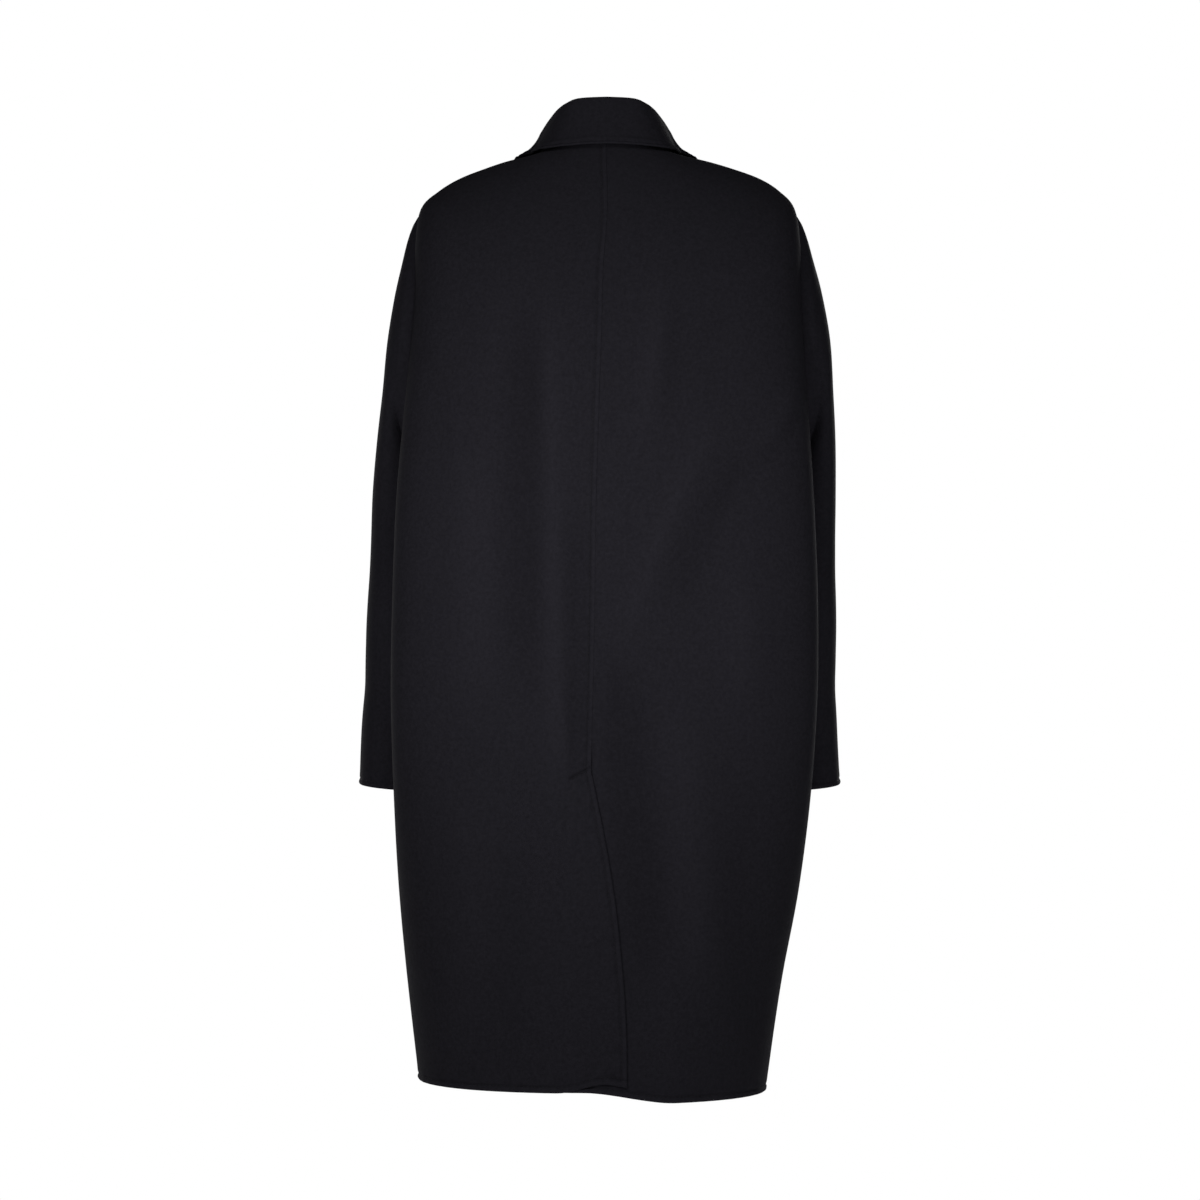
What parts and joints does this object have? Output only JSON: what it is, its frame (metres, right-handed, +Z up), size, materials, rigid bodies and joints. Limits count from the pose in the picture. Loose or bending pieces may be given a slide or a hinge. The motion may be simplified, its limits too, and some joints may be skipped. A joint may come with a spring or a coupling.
{
  "type": "oversized coat",
  "caption": "Knee-length oversized cocoon coat, hollow and filled out as worn, with a turned-down collar, notched lapels, dropped sleeves and a lapped back vent.",
  "frame": {"origin": "on the coat's middle plane, at the height where the shoulder seams meet the neck seam, where the wearer's shoulders carry it", "axes": "+Z up along the coat, -Y the way the front faces, +X the wearer's left"},
  "size_m": [0.5346, 0.3389, 1.0812],
  "materials": {
    "black_wool": "matt double-faced wool with a short nap"
  },
  "bodies": {
    "root": {"back_left": "black_wool", "back_right": "black_wool", "front_left": "black_wool", "front_right": "black_wool", "sleeve_left": "black_wool", "sleeve_right": "black_wool", "collar": "black_wool"}
  },
  "joints": []
}
